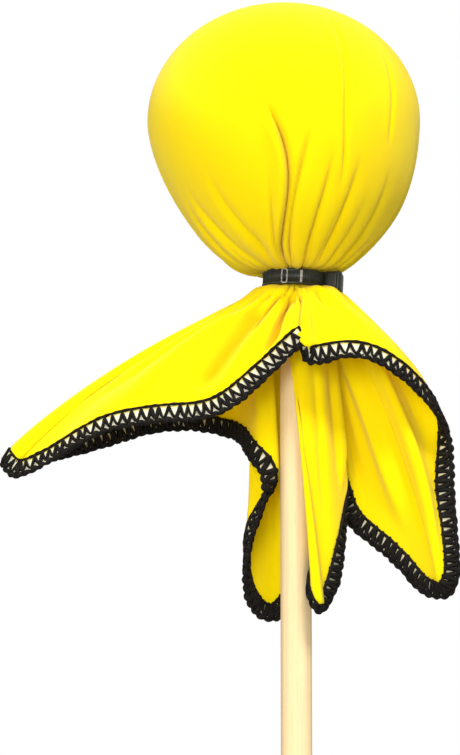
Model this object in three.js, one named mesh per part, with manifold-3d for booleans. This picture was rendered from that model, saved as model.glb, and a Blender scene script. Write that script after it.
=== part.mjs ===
// A padded ball head on a wooden dowel, dressed in one square of thin stretch cloth that a
// cable tie gathers under the ball, so that the cloth's four corners hang as a skirt.
// Millimetres, +Z up the dowel, origin at the middle of the dowel's bottom end.

import * as THREE from 'three';
import { mergeVertices } from 'three/addons/utils/BufferGeometryUtils.js';
import Module from 'manifold-3d';

// Dowel
const DOWEL_DIAMETER = 9.5;
const DOWEL_LENGTH = 305;
const DOWEL_CHAMFER = 0.6;
const DOWEL_SIDES = 32;

// Cable tie
const TIE_BELOW_DOWEL_TOP = 55;
const STRAP_WIDTH = 4.8;
const STRAP_THICKNESS = 1.3;
const TIE_HEAD_DEPTH = 5.2;
const TIE_HEAD_LENGTH = 7.4;
const TIE_HEAD_HEIGHT = 5.8;
const TIE_HEAD_BEARING = -0.12;
const STRAP_SIDES = 40;

// Padded head
const HEAD_RADIUS = 42;
const HEAD_CROWN = 36;
const HEAD_TAPER = 50;
const HEAD_LEAN = -3.4;
const TAPER_POWER = 1.7;
const CORE_RADIUS = 25;
const CORE_ABOVE_TIE = 50;
const CORE_SIDES = 28;
const CORE_STEPS = 9;
const WADDING_COLUMNS = 42;

// Cloth cover
const CLOTH_THICKNESS = 1.0;
const BUNCH_THICKNESS = 3.5;
const FLAP_REACH = 104;
const CLOTH_COLUMNS = 84;
const CROWN_ROWS = 5;
const TAPER_ROWS = 5;
const SKIRT_ROWS = 5;

// Overlocked hem
const HEM_WIDTH = 5.0;
const THREAD_THICKNESS = 0.9;
const NEEDLE_LINE_WIDTH = 1.0;
const NEEDLE_GAP = 1.3;
const STEEPEST_SLANT = 0.35;
const SLANT_SPREAD = 4;

// Clearance that touching pieces keep
const GAP = 0.3;

const DOWEL_RADIUS = DOWEL_DIAMETER / 2;
const TIE_HEIGHT = DOWEL_LENGTH - TIE_BELOW_DOWEL_TOP;
const NECK_INNER = DOWEL_RADIUS + GAP;
const NECK_OUTER = NECK_INNER + BUNCH_THICKNESS;
const STRAP_INNER = NECK_OUTER + GAP;
const STRAP_OUTER = STRAP_INNER + STRAP_THICKNESS;
const NECK_HALF_HEIGHT = STRAP_WIDTH / 2 + 2 * GAP;
const CORE_BORE_RADIUS = DOWEL_RADIUS + GAP;
const CORE_HEIGHT = TIE_HEIGHT + CORE_ABOVE_TIE;
const POUCH_BOTTOM = NECK_HALF_HEIGHT + 2.5;

// The hem of the hanging skirt, from the front notch towards the right, seen from above:
// x, y and height in mm from the middle of the tie, for a skirt whose corners reach 104 mm.
const OUTLINE_REACH = 104;
const HEM_OUTLINE = [
  [1, -15, -21], [8, -19, -27], [22, -19, -27], [34, -15, -33], [43, -8, -43],
  [47, -3, -56], [49, -2, -76], [50, -4, -91], [46, -3, -98], [37, 1, -92],
  [27, 6, -79], [20, 9, -67], [16, 10, -64], [15, 12, -76], [14, 13, -92],
  [11, 15, -102], [9, 20, -92], [7, 26, -76], [2, 29, -70], [-3, 28, -80],
  [-8, 23, -100], [-14, 19, -97], [-17, 15, -80], [-18, 13, -64], [-21, 13, -54],
  [-27, 15, -48], [-36, 18, -44], [-50, 18, -46], [-65, 12, -51],
  [-80, 5, -55], [-90, -3, -56], [-85, -9, -61], [-70, -16, -55], [-55, -21, -48],
  [-40, -23, -46], [-27, -23, -45], [-17, -22, -38], [-7, -18, -29],
];

const wasm = await Module();
wasm.setup();

// ---- Meshes from rings -------------------------------------------------------------------

// A closed surface through rings of points. Each ring is joined to the next one, and the
// surface ends in a single point where an end is given as a point, or joins its last ring
// to its first one where there are no end points.
function surfaceThroughRings(rings, startPoint, endPoint) {
  const columns = rings[0].length;
  const positions = rings.flat().flatMap((p) => [p.x, p.y, p.z]);
  const faces = [];
  const at = (row, column) => row * columns + (column % columns);
  const joined = startPoint ? rings.length - 1 : rings.length;
  for (let row = 0; row < joined; row += 1) {
    const next = (row + 1) % rings.length;
    for (let column = 0; column < columns; column += 1) {
      const a = at(row, column);
      const b = at(row, column + 1);
      const c = at(next, column + 1);
      const d = at(next, column);
      faces.push(a, d, c, a, c, b);
    }
  }
  if (startPoint) {
    const first = positions.length / 3;
    positions.push(startPoint.x, startPoint.y, startPoint.z);
    positions.push(endPoint.x, endPoint.y, endPoint.z);
    const lastRow = rings.length - 1;
    for (let column = 0; column < columns; column += 1) {
      faces.push(first, at(0, column), at(0, column + 1));
      faces.push(first + 1, at(lastRow, column + 1), at(lastRow, column));
    }
  }
  const geometry = new THREE.BufferGeometry();
  geometry.setAttribute('position', new THREE.Float32BufferAttribute(positions, 3));
  geometry.setIndex(faces);
  return geometry;
}

function solidFrom(geometry) {
  geometry.deleteAttribute('normal');
  geometry.deleteAttribute('uv');
  const merged = mergeVertices(geometry, 1e-4);
  const vertProperties = new Float32Array(merged.attributes.position.array);
  const triVerts = new Uint32Array(merged.index.array);
  return new wasm.Manifold(new wasm.Mesh({ numProp: 3, vertProperties, triVerts }));
}

function geometryFrom(solid) {
  const mesh = solid.getMesh();
  const geometry = new THREE.BufferGeometry();
  geometry.setAttribute('position', new THREE.Float32BufferAttribute(mesh.vertProperties, 3));
  geometry.setIndex([...mesh.triVerts]);
  return geometry;
}

// A profile of [radius, height] pairs, from the axis back to it, turned about +Z.
function turned(profile, sides) {
  const geometry = new THREE.LatheGeometry(profile.map(([r, z]) => new THREE.Vector2(r, z)), sides);
  geometry.rotateX(Math.PI / 2);
  return geometry;
}

// ---- The head's outer shape ----------------------------------------------------------------

// How far the head's middle leans at a height above the tie: nothing at the tie, all of
// HEAD_LEAN at the widest ring and above.
function leanAt(height) {
  const share = THREE.MathUtils.clamp(height / HEAD_TAPER, 0, 1);
  return HEAD_LEAN * share * share * (3 - 2 * share);
}

// A ring of the head, inset from the cloth's outside: an ellipse over the crown, and below
// the widest ring a taper whose radius is (1 - s^TAPER_POWER)^0.5 of the head's.
function headRing(height, inset, leastRadius, columns = CLOTH_COLUMNS) {
  const above = height - HEAD_TAPER;
  let radius;
  if (above > 0) {
    radius = (HEAD_RADIUS - inset) * Math.sqrt(1 - (above / (HEAD_CROWN - inset)) ** 2);
  } else {
    radius = HEAD_RADIUS * Math.sqrt(1 - (-above / HEAD_TAPER) ** TAPER_POWER) - inset;
  }
  return ring(Math.max(radius, leastRadius), TIE_HEIGHT + height, leanAt(height), columns);
}

// A column's angle about the dowel: the front notch's column, the first, is at -90 degrees.
function columnAngle(column, columns) {
  return (column / columns) * 2 * Math.PI - Math.PI / 2;
}

function ring(radius, z, centreX = 0, columns = CLOTH_COLUMNS) {
  const points = [];
  for (let column = 0; column < columns; column += 1) {
    const angle = columnAngle(column, columns);
    points.push(new THREE.Vector3(centreX + radius * Math.cos(angle), radius * Math.sin(angle), z));
  }
  return points;
}

// Heights above the tie from the crown's top row down to the row that meets the neck.
function headHeights(inset, lowest) {
  const heights = [];
  for (let row = 1; row <= CROWN_ROWS; row += 1) {
    const angle = (row / CROWN_ROWS) * (Math.PI / 2);
    heights.push(HEAD_TAPER + (HEAD_CROWN - inset) * Math.cos(angle));
  }
  for (let row = 1; row <= TAPER_ROWS; row += 1) {
    const share = Math.sin((row / TAPER_ROWS) * (Math.PI / 2));
    heights.push(HEAD_TAPER + (lowest - HEAD_TAPER) * share);
  }
  return heights;
}

// ---- The skirt -------------------------------------------------------------------------------

const outlineScale = FLAP_REACH / OUTLINE_REACH;
const hemCurve = new THREE.CatmullRomCurve3(
  HEM_OUTLINE.map(([x, y, height]) => new THREE.Vector3(x, y, height).multiplyScalar(outlineScale)),
  true,
  'centripetal',
);
hemCurve.arcLengthDivisions = 800;
const hemPoints = hemCurve.getSpacedPoints(CLOTH_COLUMNS).slice(0, CLOTH_COLUMNS);

// A rib of the skirt's outside: a quadratic curve that leaves the neck outwards, turns over
// a shoulder and falls to the hem. share is 0 at the neck and 1 at the hem.
function ribPoint(column, share) {
  const angle = columnAngle(column, CLOTH_COLUMNS);
  const outward = new THREE.Vector3(Math.cos(angle), Math.sin(angle), 0);
  const neck = outward.clone().multiplyScalar(NECK_OUTER).setZ(-NECK_HALF_HEIGHT);
  const hem = hemPoints[column];
  const fall = hem.clone().sub(neck);
  const shoulder = neck.clone().add(new THREE.Vector3(fall.x * 0.5, fall.y * 0.5, fall.z * 0.34));
  shoulder.addScaledVector(outward, 0.07 * fall.length());
  const rest = 1 - share;
  return neck
    .multiplyScalar(rest * rest)
    .addScaledVector(shoulder, 2 * share * rest)
    .addScaledVector(hem, share * share);
}

// The sine of the angle between each rib and the hem, and its mean over nearby columns.
const slants = hemPoints.map((_, column) => {
  const tail = ribPoint(column, 1).sub(ribPoint(column, 0.9));
  const before = hemPoints[(column + CLOTH_COLUMNS - 1) % CLOTH_COLUMNS];
  const along = hemPoints[(column + 1) % CLOTH_COLUMNS].clone().sub(before);
  return Math.max(Math.sin(tail.angleTo(along)), STEEPEST_SLANT);
});

function meanSlant(column) {
  let sum = 0;
  for (let step = -SLANT_SPREAD; step <= SLANT_SPREAD; step += 1) {
    sum += slants[(column + step + CLOTH_COLUMNS) % CLOTH_COLUMNS];
  }
  return sum / (2 * SLANT_SPREAD + 1);
}

// The share of a rib at a distance in from the hem, square to the hem. Where the hem runs
// nearly along its rib, down the side of a corner, that takes a longer stretch of the rib.
function shareInFromHem(column, distance) {
  const tail = ribPoint(column, 1).distanceTo(ribPoint(column, 0.9));
  return 1 - (0.1 * distance) / (tail * meanSlant(column));
}

const hemShares = hemPoints.map((_, column) => shareInFromHem(column, HEM_WIDTH));
const needleShares = hemPoints.map((_, column) => (
  shareInFromHem(column, HEM_WIDTH + NEEDLE_GAP + NEEDLE_LINE_WIDTH)
));

// Rows of the skirt's outside from under the tie to the hem, as functions of the column.
// The last three rows are the needle line's inner edge, the hem band's inner edge and the hem.
const skirtRows = [];
for (let row = 1; row <= SKIRT_ROWS; row += 1) {
  skirtRows.push((column) => needleShares[column] * (row / SKIRT_ROWS) ** 1.2);
}
skirtRows.push((column) => hemShares[column]);
skirtRows.push(() => 1);

function skirtRing(shareOf, z = TIE_HEIGHT) {
  return hemPoints.map((_, column) => {
    const point = ribPoint(column, shareOf(column));
    point.z += z;
    return point;
  });
}

const skirtRings = skirtRows.map((shareOf) => skirtRing(shareOf));

// Unit normals of the skirt's outside at a row's points, from the points around them.
function skirtNormals(row) {
  const count = CLOTH_COLUMNS;
  const before = row > 0 ? skirtRings[row - 1] : skirtRing(() => 0);
  const after = skirtRings[Math.min(row + 1, skirtRings.length - 1)];
  return skirtRings[row].map((_, column) => {
    const left = skirtRings[row][(column + count - 1) % count];
    const right = skirtRings[row][(column + 1) % count];
    const along = right.clone().sub(left);
    const down = after[column].clone().sub(before[column]);
    return down.cross(along).normalize();
  });
}

const rowNormals = skirtRings.map((_, row) => skirtNormals(row));

// A skirt row moved along its normals: positive is outwards. No point comes nearer to the
// dowel than the neck's own inside.
function offsetRow(row, distance) {
  return skirtRings[row].map((point, column) => {
    const moved = point.clone().addScaledVector(rowNormals[row][column], distance);
    const radius = Math.hypot(moved.x, moved.y);
    if (radius < NECK_INNER) {
      moved.x *= NECK_INNER / radius;
      moved.y *= NECK_INNER / radius;
    }
    return moved;
  });
}

// ---- Pieces ----------------------------------------------------------------------------------

function dowelGeometry() {
  return turned([
    [0, 0],
    [DOWEL_RADIUS - DOWEL_CHAMFER, 0],
    [DOWEL_RADIUS, DOWEL_CHAMFER],
    [DOWEL_RADIUS, DOWEL_LENGTH - DOWEL_CHAMFER],
    [DOWEL_RADIUS - DOWEL_CHAMFER, DOWEL_LENGTH],
    [0, DOWEL_LENGTH],
  ], DOWEL_SIDES);
}

// A ball's outline from the rim of its bore up to just before its top, as [radius, height].
function ballProfile(radius) {
  const mouthAngle = Math.asin(CORE_BORE_RADIUS / radius);
  const profile = [];
  for (let step = 0; step < CORE_STEPS; step += 1) {
    const angle = -Math.PI / 2 + mouthAngle + (step / CORE_STEPS) * (Math.PI - mouthAngle);
    profile.push([radius * Math.cos(angle), CORE_HEIGHT + radius * Math.sin(angle)]);
  }
  return profile;
}

// A foam ball with a blind bore that the dowel's top end fills.
function coreGeometry() {
  const profile = [[0, DOWEL_LENGTH + GAP], [CORE_BORE_RADIUS, DOWEL_LENGTH + GAP]];
  profile.push(...ballProfile(CORE_RADIUS), [0, CORE_HEIGHT + CORE_RADIUS]);
  return turned(profile, CORE_SIDES);
}

// The wadding between core and cloth: the head's shape inset by the cloth, hollowed for the
// core and open at the bottom where the dowel comes in.
function waddingGeometry() {
  const inset = CLOTH_THICKNESS + GAP;
  const lowest = POUCH_BOTTOM + 3 * GAP;
  const columns = WADDING_COLUMNS;
  const hollow = CORE_RADIUS + GAP;
  const heights = headHeights(inset, POUCH_BOTTOM);
  heights[heights.length - 1] = lowest;
  const rings = heights.map((height) => headRing(height, inset, NECK_OUTER, columns));
  rings.push(ring(NECK_INNER, TIE_HEIGHT + lowest, 0, columns));
  rings.push(...ballProfile(hollow).map(([radius, z]) => ring(radius, z, 0, columns)));
  const top = new THREE.Vector3(HEAD_LEAN, 0, TIE_HEIGHT + HEAD_TAPER + HEAD_CROWN - inset);
  return surfaceThroughRings(rings, top, new THREE.Vector3(0, 0, CORE_HEIGHT + hollow));
}

// The one cloth is two shells that meet inside the tie. The pouch goes over the head and
// down into a bunch round the dowel, and back up along the inside.
function pouchGeometry() {
  const outside = headHeights(0, POUCH_BOTTOM - CLOTH_THICKNESS / 2);
  const inside = headHeights(CLOTH_THICKNESS, POUCH_BOTTOM).reverse();
  const top = TIE_HEIGHT + HEAD_TAPER + HEAD_CROWN;
  return surfaceThroughRings(
    [
      ...outside.map((height) => headRing(height, 0, NECK_OUTER)),
      ring(NECK_OUTER, TIE_HEIGHT + NECK_HALF_HEIGHT),
      ring(NECK_OUTER, TIE_HEIGHT + GAP / 2),
      ring(NECK_INNER, TIE_HEIGHT + GAP / 2),
      ring(NECK_INNER, TIE_HEIGHT + NECK_HALF_HEIGHT),
      ...inside.map((height) => headRing(height, CLOTH_THICKNESS, NECK_INNER)),
    ],
    new THREE.Vector3(HEAD_LEAN, 0, top),
    new THREE.Vector3(HEAD_LEAN, 0, top - CLOTH_THICKNESS),
  );
}

// The skirt starts as the other half of the bunch, spreads over its shoulders to the hem,
// and comes back along the inside.
function skirtGeometry() {
  const inside = skirtRings.map((_, row) => offsetRow(row, -CLOTH_THICKNESS)).slice(1).reverse();
  return surfaceThroughRings([
    ring(NECK_OUTER, TIE_HEIGHT - GAP / 2),
    ring(NECK_OUTER, TIE_HEIGHT - NECK_HALF_HEIGHT),
    ...skirtRings,
    ...inside,
    ring(NECK_INNER, TIE_HEIGHT - NECK_HALF_HEIGHT - BUNCH_THICKNESS),
    ring(NECK_INNER, TIE_HEIGHT - GAP / 2),
  ]);
}

// A flat band of thread that lies GAP off one face of the cloth between two of its rows.
function threadBand(rowFrom, rowTo, side) {
  const face = side > 0 ? 0 : -CLOTH_THICKNESS;
  const near = face + side * GAP;
  const far = near + side * THREAD_THICKNESS;
  const rings = [
    offsetRow(rowFrom, near),
    offsetRow(rowFrom, far),
    offsetRow(rowTo, far),
    offsetRow(rowTo, near),
  ];
  return surfaceThroughRings(side > 0 ? rings : rings.reverse());
}

function cableTieGeometry() {
  const half = STRAP_WIDTH / 2;
  const strap = turned([
    [STRAP_INNER, -half],
    [STRAP_OUTER, -half],
    [STRAP_OUTER, half],
    [STRAP_INNER, half],
    [STRAP_INNER, -half],
  ], STRAP_SIDES);
  const head = new THREE.BoxGeometry(TIE_HEAD_DEPTH, TIE_HEAD_LENGTH, TIE_HEAD_HEIGHT);
  const headStart = STRAP_OUTER - STRAP_THICKNESS / 2;
  head.translate(headStart + TIE_HEAD_DEPTH / 2, 0, 0);
  head.rotateZ(TIE_HEAD_BEARING);
  const geometry = geometryFrom(solidFrom(strap).add(solidFrom(head)));
  geometry.translate(0, 0, TIE_HEIGHT);
  return geometry;
}

// ---- Assembly --------------------------------------------------------------------------------

function finish(color, roughness) {
  return new THREE.MeshStandardMaterial({ color, roughness, metalness: 0 });
}

const needleRow = SKIRT_ROWS - 1;
const bandRow = SKIRT_ROWS;
const hemRow = SKIRT_ROWS + 1;
const pieces = [
  ['wooden_dowel', dowelGeometry(), finish(0xf3ddb9, 0.55)],
  ['foam_core_ball', coreGeometry(), finish(0xf4f4f0, 0.9)],
  ['head_wadding', waddingGeometry(), finish(0xfafafa, 1.0)],
  ['cloth_pouch', pouchGeometry(), finish(0xfbe606, 0.75)],
  ['cloth_skirt', skirtGeometry(), finish(0xfbe606, 0.75)],
  ['hem_upper_looper_thread', threadBand(bandRow, hemRow, 1), finish(0x17140f, 0.8)],
  ['hem_lower_looper_thread', threadBand(bandRow, hemRow, -1), finish(0x17140f, 0.8)],
  ['cable_tie', cableTieGeometry(), finish(0x2b2c28, 0.45)],
];

// The needle thread lies beside the upper looper's band, just inside it.
function needleThreadGeometry() {
  const inner = offsetRow(needleRow, GAP);
  const innerTop = offsetRow(needleRow, GAP + THREAD_THICKNESS);
  const share = NEEDLE_GAP / (NEEDLE_GAP + NEEDLE_LINE_WIDTH);
  const outer = offsetRow(bandRow, GAP).map((p, i) => p.lerp(inner[i], share));
  const outerTop = offsetRow(bandRow, GAP + THREAD_THICKNESS).map((p, i) => p.lerp(innerTop[i], share));
  return surfaceThroughRings([inner, innerTop, outerTop, outer]);
}

pieces.push(['hem_needle_thread', needleThreadGeometry(), finish(0x17140f, 0.8)]);

const assembly = new THREE.Group();
for (const [name, geometry, material] of pieces) {
  const mesh = new THREE.Mesh(geometry, material);
  mesh.name = name;
  assembly.add(mesh);
}

export default assembly;
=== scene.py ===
"""A padded ball head on a wooden dowel, dressed in a square of thin yellow jersey.

The jersey lies over the padded head, is gathered under it by a black cable tie, and hangs
below the tie as a skirt of four corner flaps with an overlocked black hem. Every piece is
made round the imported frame, in metres.
"""

import math

import bpy
import numpy as np
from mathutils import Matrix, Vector


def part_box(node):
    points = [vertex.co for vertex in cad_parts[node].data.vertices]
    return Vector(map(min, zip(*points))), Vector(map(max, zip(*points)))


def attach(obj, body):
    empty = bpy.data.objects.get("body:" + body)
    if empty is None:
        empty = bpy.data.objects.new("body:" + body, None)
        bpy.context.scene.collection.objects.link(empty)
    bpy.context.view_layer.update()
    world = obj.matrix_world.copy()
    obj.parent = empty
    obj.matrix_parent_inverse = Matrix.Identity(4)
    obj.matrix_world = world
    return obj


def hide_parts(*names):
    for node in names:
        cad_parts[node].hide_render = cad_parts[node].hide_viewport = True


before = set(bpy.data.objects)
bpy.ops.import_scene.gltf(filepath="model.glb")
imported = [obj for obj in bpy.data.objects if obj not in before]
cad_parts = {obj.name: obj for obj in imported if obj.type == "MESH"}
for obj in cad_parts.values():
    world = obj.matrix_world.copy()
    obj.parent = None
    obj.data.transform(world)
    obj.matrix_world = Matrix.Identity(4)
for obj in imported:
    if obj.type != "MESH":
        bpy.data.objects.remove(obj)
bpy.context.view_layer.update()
MM = 0.001
SEED = 11

# ---- Places taken from the frame ------------------------------------------------------------

DOWEL_LOW, DOWEL_HIGH = (np.array(corner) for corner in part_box("wooden_dowel"))
DOWEL_RADIUS = (DOWEL_HIGH[0] - DOWEL_LOW[0]) / 2
TIE_LOW, TIE_HIGH = (np.array(corner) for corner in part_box("cable_tie"))
TIE_HEIGHT = (TIE_LOW[2] + TIE_HIGH[2]) / 2
CORE_LOW, CORE_HIGH = (np.array(corner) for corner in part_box("foam_core_ball"))
CORE_RADIUS = (CORE_HIGH[0] - CORE_LOW[0]) / 2
CORE_MIDDLE = (CORE_LOW[2] + CORE_HIGH[2]) / 2

# ---- Padded head ----------------------------------------------------------------------------

HEAD_RADIUS = 42 * MM
HEAD_CROWN = 36.3 * MM
HEAD_TAPER = 50 * MM
HEAD_LEAN = -3.4 * MM
LOW_LEAN_SHARE = 0.4
LOW_LEAN_HEIGHTS = (0, 8 * MM)
HIGH_LEAN_HEIGHTS = (20 * MM, HEAD_TAPER)
TAPER_POWER = 1.7
CROWN_START = 0.02
SHELF_HEIGHT = 3.3 * MM
SHELF_RINGS = [[10.6 * MM, 3.0 * MM], [9.2 * MM, 2.9 * MM]]
CREASE_SHARPNESS = 1.15
CREASE_STEEP, CREASE_GENTLE = 0.7, 1.5
CREASE_SHOULDER = 0.35
NECK_RADIUS = 7.3 * MM
NECK_PLEAT = 0.9 * MM
NECK_TOP = 2.5 * MM
NECK_BOTTOM = -2.6 * MM
NECK_PLEATS = 27
FINE_PLEATS = 41

# ---- Cloth ----------------------------------------------------------------------------------

CLOTH_THICKNESS = 0.4 * MM
CLOTH_COLUMNS = 340
HEAD_ROWS = 64
NECK_ROWS = 4
SKIRT_ROWS = 58
BAND_ROWS = 8
BAND_WIDTH = 5.7 * MM
THINNESS = 0.4
FRONT_DETAIL = 0.4
# Depth of a crease or fold at which its painted shade is full.
DEEP_FOLD = 3.3 * MM
WALE_PITCH, COURSE_PITCH = 0.62 * MM, 0.85 * MM
SKIRT_PLEAT = 0.45 * MM
PLEAT_PUSH, PLEAT_LENGTH = 0.55 * MM, 9 * MM
PUFF_PUSH, PUFF_DROP, PUFF_LENGTH = 1.5 * MM, 6 * MM, 4 * MM
NECK_PULL, BAND_PULL = 0.66, 0.4
BAND_TUCK = 1.5 * MM
FLAT_ABOVE_BAND = 0.86
SHOULDER_OUT = (8 * MM, 34 * MM)
SHOULDER_RIGHT = (-5 * MM, 25 * MM)
PUFF_OUT = (8 * MM, 20 * MM)
NARROWEST_STEP = 0.35 * MM
STEPS_PER_RIB = 60

# Each rib of the skirt runs from the tie to the hem: its angle and radius in the tie, seen
# from above, then the place of its end in the hem, from the middle of the tie, in mm. The
# ribs go round from the front notch to the right, behind the dowel and back.
RIBS = [
    (-85, 6.6, 4.8, -13.5, -20.8), (-79, 7.2, 2.6, -15.0, -23.2), (-73, 7.8, 3.4, -18.0, -27.4),
    (-64, 8.0, 8, -19.4, -27.5), (-52, 8.0, 15, -20, -26), (-40, 8.0, 23, -19, -27),
    (-28, 8.0, 32, -16, -32), (-18, 8.0, 40, -11, -39), (-8, 8.0, 45, -6, -45),
    (0, 8.0, 47, -3, -53), (6, 8.0, 47.5, -2, -65), (12, 8.0, 48.3, -3, -79),
    (17, 8.0, 48.6, -5, -91), (22, 8.0, 45, -4, -97), (28, 8.0, 38, 0, -95),
    (35, 8.0, 32, 4, -88), (42, 8.0, 26, 7, -82), (49, 7.9, 19, 9, -76),
    (55, 7.8, 14.5, 9, -70), (58, 7.6, 11, 9, -57), (48, 7.3, 14, 6, -67),
    (20, 7.1, 14.5, 1, -75), (-40, 7.1, 14, -3, -83), (-80, 7.0, 12, -6, -94),
    (-128, 6.8, 7.0, -8, -102), (-124, 6.5, 3.8, -7, -96), (-50, 6.1, 7, 2, -86),
    (20, 6.0, 6, 10, -80), (70, 6.4, 4, 14, -84), (105, 7.1, 0, 18, -97),
    (122, 7.3, -6, 19, -102.5), (134, 7.3, -11.5, 17, -101), (142, 7.3, -14.6, 13, -96),
    (150, 7.3, -15.2, 9, -89), (158, 7.3, -13.6, 4, -79), (165, 7.3, -11, 1, -72),
    (171, 7.3, -9.4, -1, -65), (177, 7.3, -10.6, -1, -59), (183, 7.3, -14.5, 2, -53.5),
    (190, 7.3, -16.5, 10, -48.5), (197, 7.3, -21, 17, -45.5),
    (204, 7.3, -32, 20, -43), (210, 7.3, -44, 19, -44), (215, 7.3, -56, 16, -48),
    (219, 7.3, -68, 11, -52), (222, 7.3, -79, 5, -55), (225, 7.3, -88.6, -3, -56),
    (229, 7.3, -84.5, -9, -61), (233, 7.3, -74, -14, -57), (238, 7.3, -65, -18, -52),
    (243, 7.3, -55, -21, -48), (248, 7.3, -41, -23, -46), (253, 7.3, -28, -23, -45),
    (258, 7.3, -19, -22, -41), (263, 7.4, -8.5, -18.8, -31.5), (267, 7.5, -2, -18.4, -25.2),
    (270, 7.6, 2.6, -19.2, -21.4),
]

# Creases of the head that are there to be seen: bearings from the front at the low end,
# halfway and at the high end, in degrees towards the right, heights of both ends above the
# tie, depth and half-width in mm.
HEAD_CREASES = [
    (-12, -2, -14, 4, 53, 5.4, 0.8), (-14, -12, -11, 6, 30, 2.4, 0.8), (-24, -40, -42, 6, 32, 2.2, 1.2),
    (-46, -60, -62, 4, 30, 2.0, 1.4), (25, 25, 28, 26, 82, 1.8, 0.6), (49, 50, 52, 40, 70, 1.5, 0.7),
    (-3, 3, 13, 5, 44, 2.6, 0.9), (12, 16, 21, 3, 36, 2.2, 0.8), (30, 31, 35, 5, 36, 1.8, 1.1),
    (58, 55, 53, 4, 34, 1.4, 1.4), (-76, -72, -66, 4, 30, 1.4, 1.4),
]

# Folds of the skirt: place along the ribs counted in ribs, shares of the rib where the fold
# starts and ends, depth and half-width in mm. A negative depth is a valley.
SKIRT_FOLDS = [
    (54.5, 0.13, 1.1, -4.2, 2.2), (55.2, 0.1, 0.9, 1.2, 1.4), (51.9, 0.2, 1.05, -3.0, 4.4),
    (52.9, 0.1, 0.6, -2.4, 0.9), (50.2, 0.25, 1.05, 1.2, 4.0), (48.6, 0.15, 0.8, -2.0, 5.0),
    (0.6, 0.25, 1.25, -4.2, 1.4), (1.5, 0.05, 0.9, 1.6, 1.6), (2.8, 0.0, 0.7, 1.0, 2.2),
    (3.9, 0.1, 0.5, -3.2, 0.9), (5.0, 0.0, 0.8, 1.2, 2.4), (6.6, 0.1, 0.85, -1.2, 2.6),
    (9.2, 0.1, 0.95, 1.6, 5.0), (11.4, 0.1, 0.95, -2.6, 4.4), (13.4, 0.1, 0.95, 2.2, 4.4),
    (15.2, 0.1, 0.95, -3.0, 3.6), (17.4, 0.1, 0.9, 2.2, 3.0), (20.6, 0.1, 1.0, -3.6, 2.0),
    (22.6, 0.1, 0.9, 1.4, 1.6), (34.0, 0.2, 0.9, 1.6, 1.6), (30.4, 0.1, 0.9, -1.4, 2.0),
    (32.6, 0.1, 0.95, 1.6, 2.2), (35.2, 0.1, 0.9, -1.4, 2.0), (38.2, 0.05, 0.9, -2.6, 1.6),
    (39.6, 0.05, 0.95, 1.8, 2.2), (41.4, 0.1, 0.9, -1.6, 2.6),
]

# ---- Overlocked hem -------------------------------------------------------------------------

STITCH_PITCH = 2.8 * MM
NEEDLE_LINE = 4.7 * MM
THREAD_RADIUS = 0.54 * MM
THREAD_LIFT = 0.4 * MM
THREAD_SIDES = 6


# ---- Shapes worked out on grids -------------------------------------------------------------


def smoothstep(low, high, x):
    """0 below low, 1 above high, and the cubic 3t^2 - 2t^3 between them."""
    t = np.clip((x - low) / (high - low), 0, 1)
    return t * t * (3 - 2 * t)


def catmull_rom(a, b, c, d, f):
    """The Catmull-Rom curve from b to c at the share f of the way, between a and d."""
    return 0.5 * (2 * b + (c - a) * f + (2 * a - 5 * b + 4 * c - d) * f**2 + (3 * b - 3 * c + d - a) * f**3)


def round_loop(points, t):
    """A closed Catmull-Rom curve through the points, at t counted in points."""
    count = len(points)
    first = np.floor(t).astype(int)
    f = (t - first).reshape((-1,) + (1,) * (points.ndim - 1))
    return catmull_rom(*(points[(first + step) % count] for step in (-1, 0, 1, 2)), f)


def blurred_round(values, width):
    """Values on a closed loop, each replaced by a Gaussian mean over width samples."""
    reach = int(3 * width) + 1
    steps = np.arange(-reach, reach + 1)
    weights = np.exp(-0.5 * (steps / width) ** 2)
    weights /= weights.sum()
    return sum(w * np.roll(values, -s, axis=0) for s, w in zip(steps, weights))


def unit(vectors):
    """The vectors scaled to a length of 1."""
    return vectors / np.maximum(np.linalg.norm(vectors, axis=-1, keepdims=True), 1e-12)


def turned(radius, angle, height):
    """Places at a radius and an angle round the dowel, seen from above, and at a height."""
    return np.stack(np.broadcast_arrays(radius * np.cos(angle), radius * np.sin(angle), height), -1)


def grid_normals(points):
    """Outward unit normals of a grid of rows going down and columns going round."""
    across = np.roll(points, -1, 1) - np.roll(points, 1, 1)
    down = np.gradient(points, axis=0)
    return unit(np.cross(down, across))


def band_faces(rows, columns, start=0):
    """Quads of a grid whose columns close round, with the rows' vertices in order."""
    row = np.arange(rows - 1)[:, None]
    column = np.arange(columns)[None, :]
    a = start + row * columns + column
    b = start + row * columns + (column + 1) % columns
    return np.stack([a, a + columns, b + columns, b], -1).reshape(-1, 4)


def piece_from(name, vertices, faces, finish, smooth=True):
    """A mesh object at the origin from vertices in metres and faces of 3 or 4 corners."""
    mesh = bpy.data.meshes.new(name)
    mesh.from_pydata(vertices.tolist(), [], [list(map(int, face)) for face in faces])
    mesh.polygons.foreach_set("use_smooth", np.full(len(mesh.polygons), smooth))
    mesh.materials.append(finish)
    mesh.update()
    piece = bpy.data.objects.new(name, mesh)
    bpy.context.scene.collection.objects.link(piece)
    return piece


def pole_faces(first_row, columns, pole, downwards):
    """The triangles that close a row of a grid at one point."""
    column = np.arange(columns)
    a = first_row + column
    b = first_row + (column + 1) % columns
    corners = (np.full(columns, pole), a, b) if downwards else (np.full(columns, pole), b, a)
    return np.stack(corners, -1)


def capped_faces(rows, columns):
    """The faces of a grid and of its two ends, closed at the two points after its vertices."""
    top = pole_faces(0, columns, rows * columns, True)
    bottom = pole_faces((rows - 1) * columns, columns, rows * columns + 1, False)
    return [*band_faces(rows, columns), *top, *bottom]


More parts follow.
